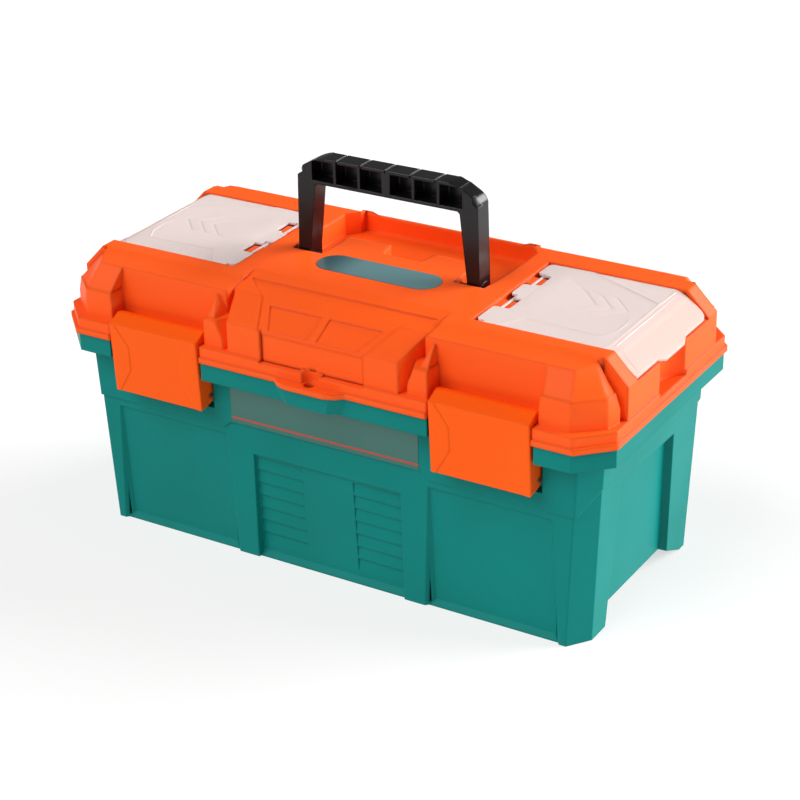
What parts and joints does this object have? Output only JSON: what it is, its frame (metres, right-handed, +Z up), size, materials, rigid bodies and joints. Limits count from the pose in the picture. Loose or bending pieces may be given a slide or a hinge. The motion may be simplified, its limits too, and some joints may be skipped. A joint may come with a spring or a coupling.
{
  "type": "toolbox",
  "caption": "Moulded plastic toolbox with hinged lid, folding carry handle, draw latches, lidded small-parts bins in the lid and a lift-out tray.",
  "frame": {"origin": "on the surface that the box stands on, under the middle of its overall length and depth", "axes": "+X to the right as seen from the front, along the box's length; +Y to the back; +Z up. The front with the latches faces -Y."},
  "size_m": [0.4, 0.208, 0.2525],
  "materials": {
    "tub_plastic": "fine-grained moulded",
    "label_film": "printed film, bare",
    "lid_plastic": "fine-grained moulded",
    "badge_film": "film, bare",
    "handle_plastic": "satin",
    "tray_plastic": "satin",
    "cover_plastic": "milky translucent",
    "latch_plastic": "satin",
    "pin_steel": "drawn wire"
  },
  "bodies": {
    "base": {"base_tub": "tub_plastic", "front_label": "label_film", "tray": "tray_plastic", "left_hinge_pin": "pin_steel", "right_hinge_pin": "pin_steel", "left_latch_pin": "pin_steel", "right_latch_pin": "pin_steel"},
    "lid": {"lid_shell": "lid_plastic", "lid_badge": "badge_film", "left_handle_pin": "handle_plastic", "right_handle_pin": "handle_plastic"},
    "handle": {"handle": "handle_plastic"},
    "left_cover": {"left_bin_cover": "cover_plastic"},
    "right_cover": {"right_bin_cover": "cover_plastic"},
    "left_latch": {"left_latch": "latch_plastic"},
    "right_latch": {"right_latch": "latch_plastic"}
  },
  "joints": [
    {"name": "lid_hinge", "type": "hinge", "parent": "base", "child": "lid", "pos_m": [0, 0.1005, 0.1405], "axis": [-1, 0, 0], "range_deg": [0, 100]},
    {"name": "handle_fold", "type": "hinge", "parent": "lid", "child": "handle", "pos_m": [0, 0.004, 0.182], "axis": [-1, 0, 0], "range_deg": [0, 88]},
    {"name": "left_cover_hinge", "type": "hinge", "parent": "lid", "child": "left_cover", "pos_m": [-0.0925, 0, 0.1849], "axis": [0, 1, 0], "range_deg": [0, 100]},
    {"name": "right_cover_hinge", "type": "hinge", "parent": "lid", "child": "right_cover", "pos_m": [0.0925, 0, 0.1849], "axis": [0, -1, 0], "range_deg": [0, 100]},
    {"name": "left_latch_pivot", "type": "hinge", "parent": "base", "child": "left_latch", "pos_m": [-0.1185, -0.0854, 0.1125], "axis": [1, 0, 0], "range_deg": [0, 48]},
    {"name": "right_latch_pivot", "type": "hinge", "parent": "base", "child": "right_latch", "pos_m": [0.1185, -0.0854, 0.1125], "axis": [1, 0, 0], "range_deg": [0, 48]}
  ]
}
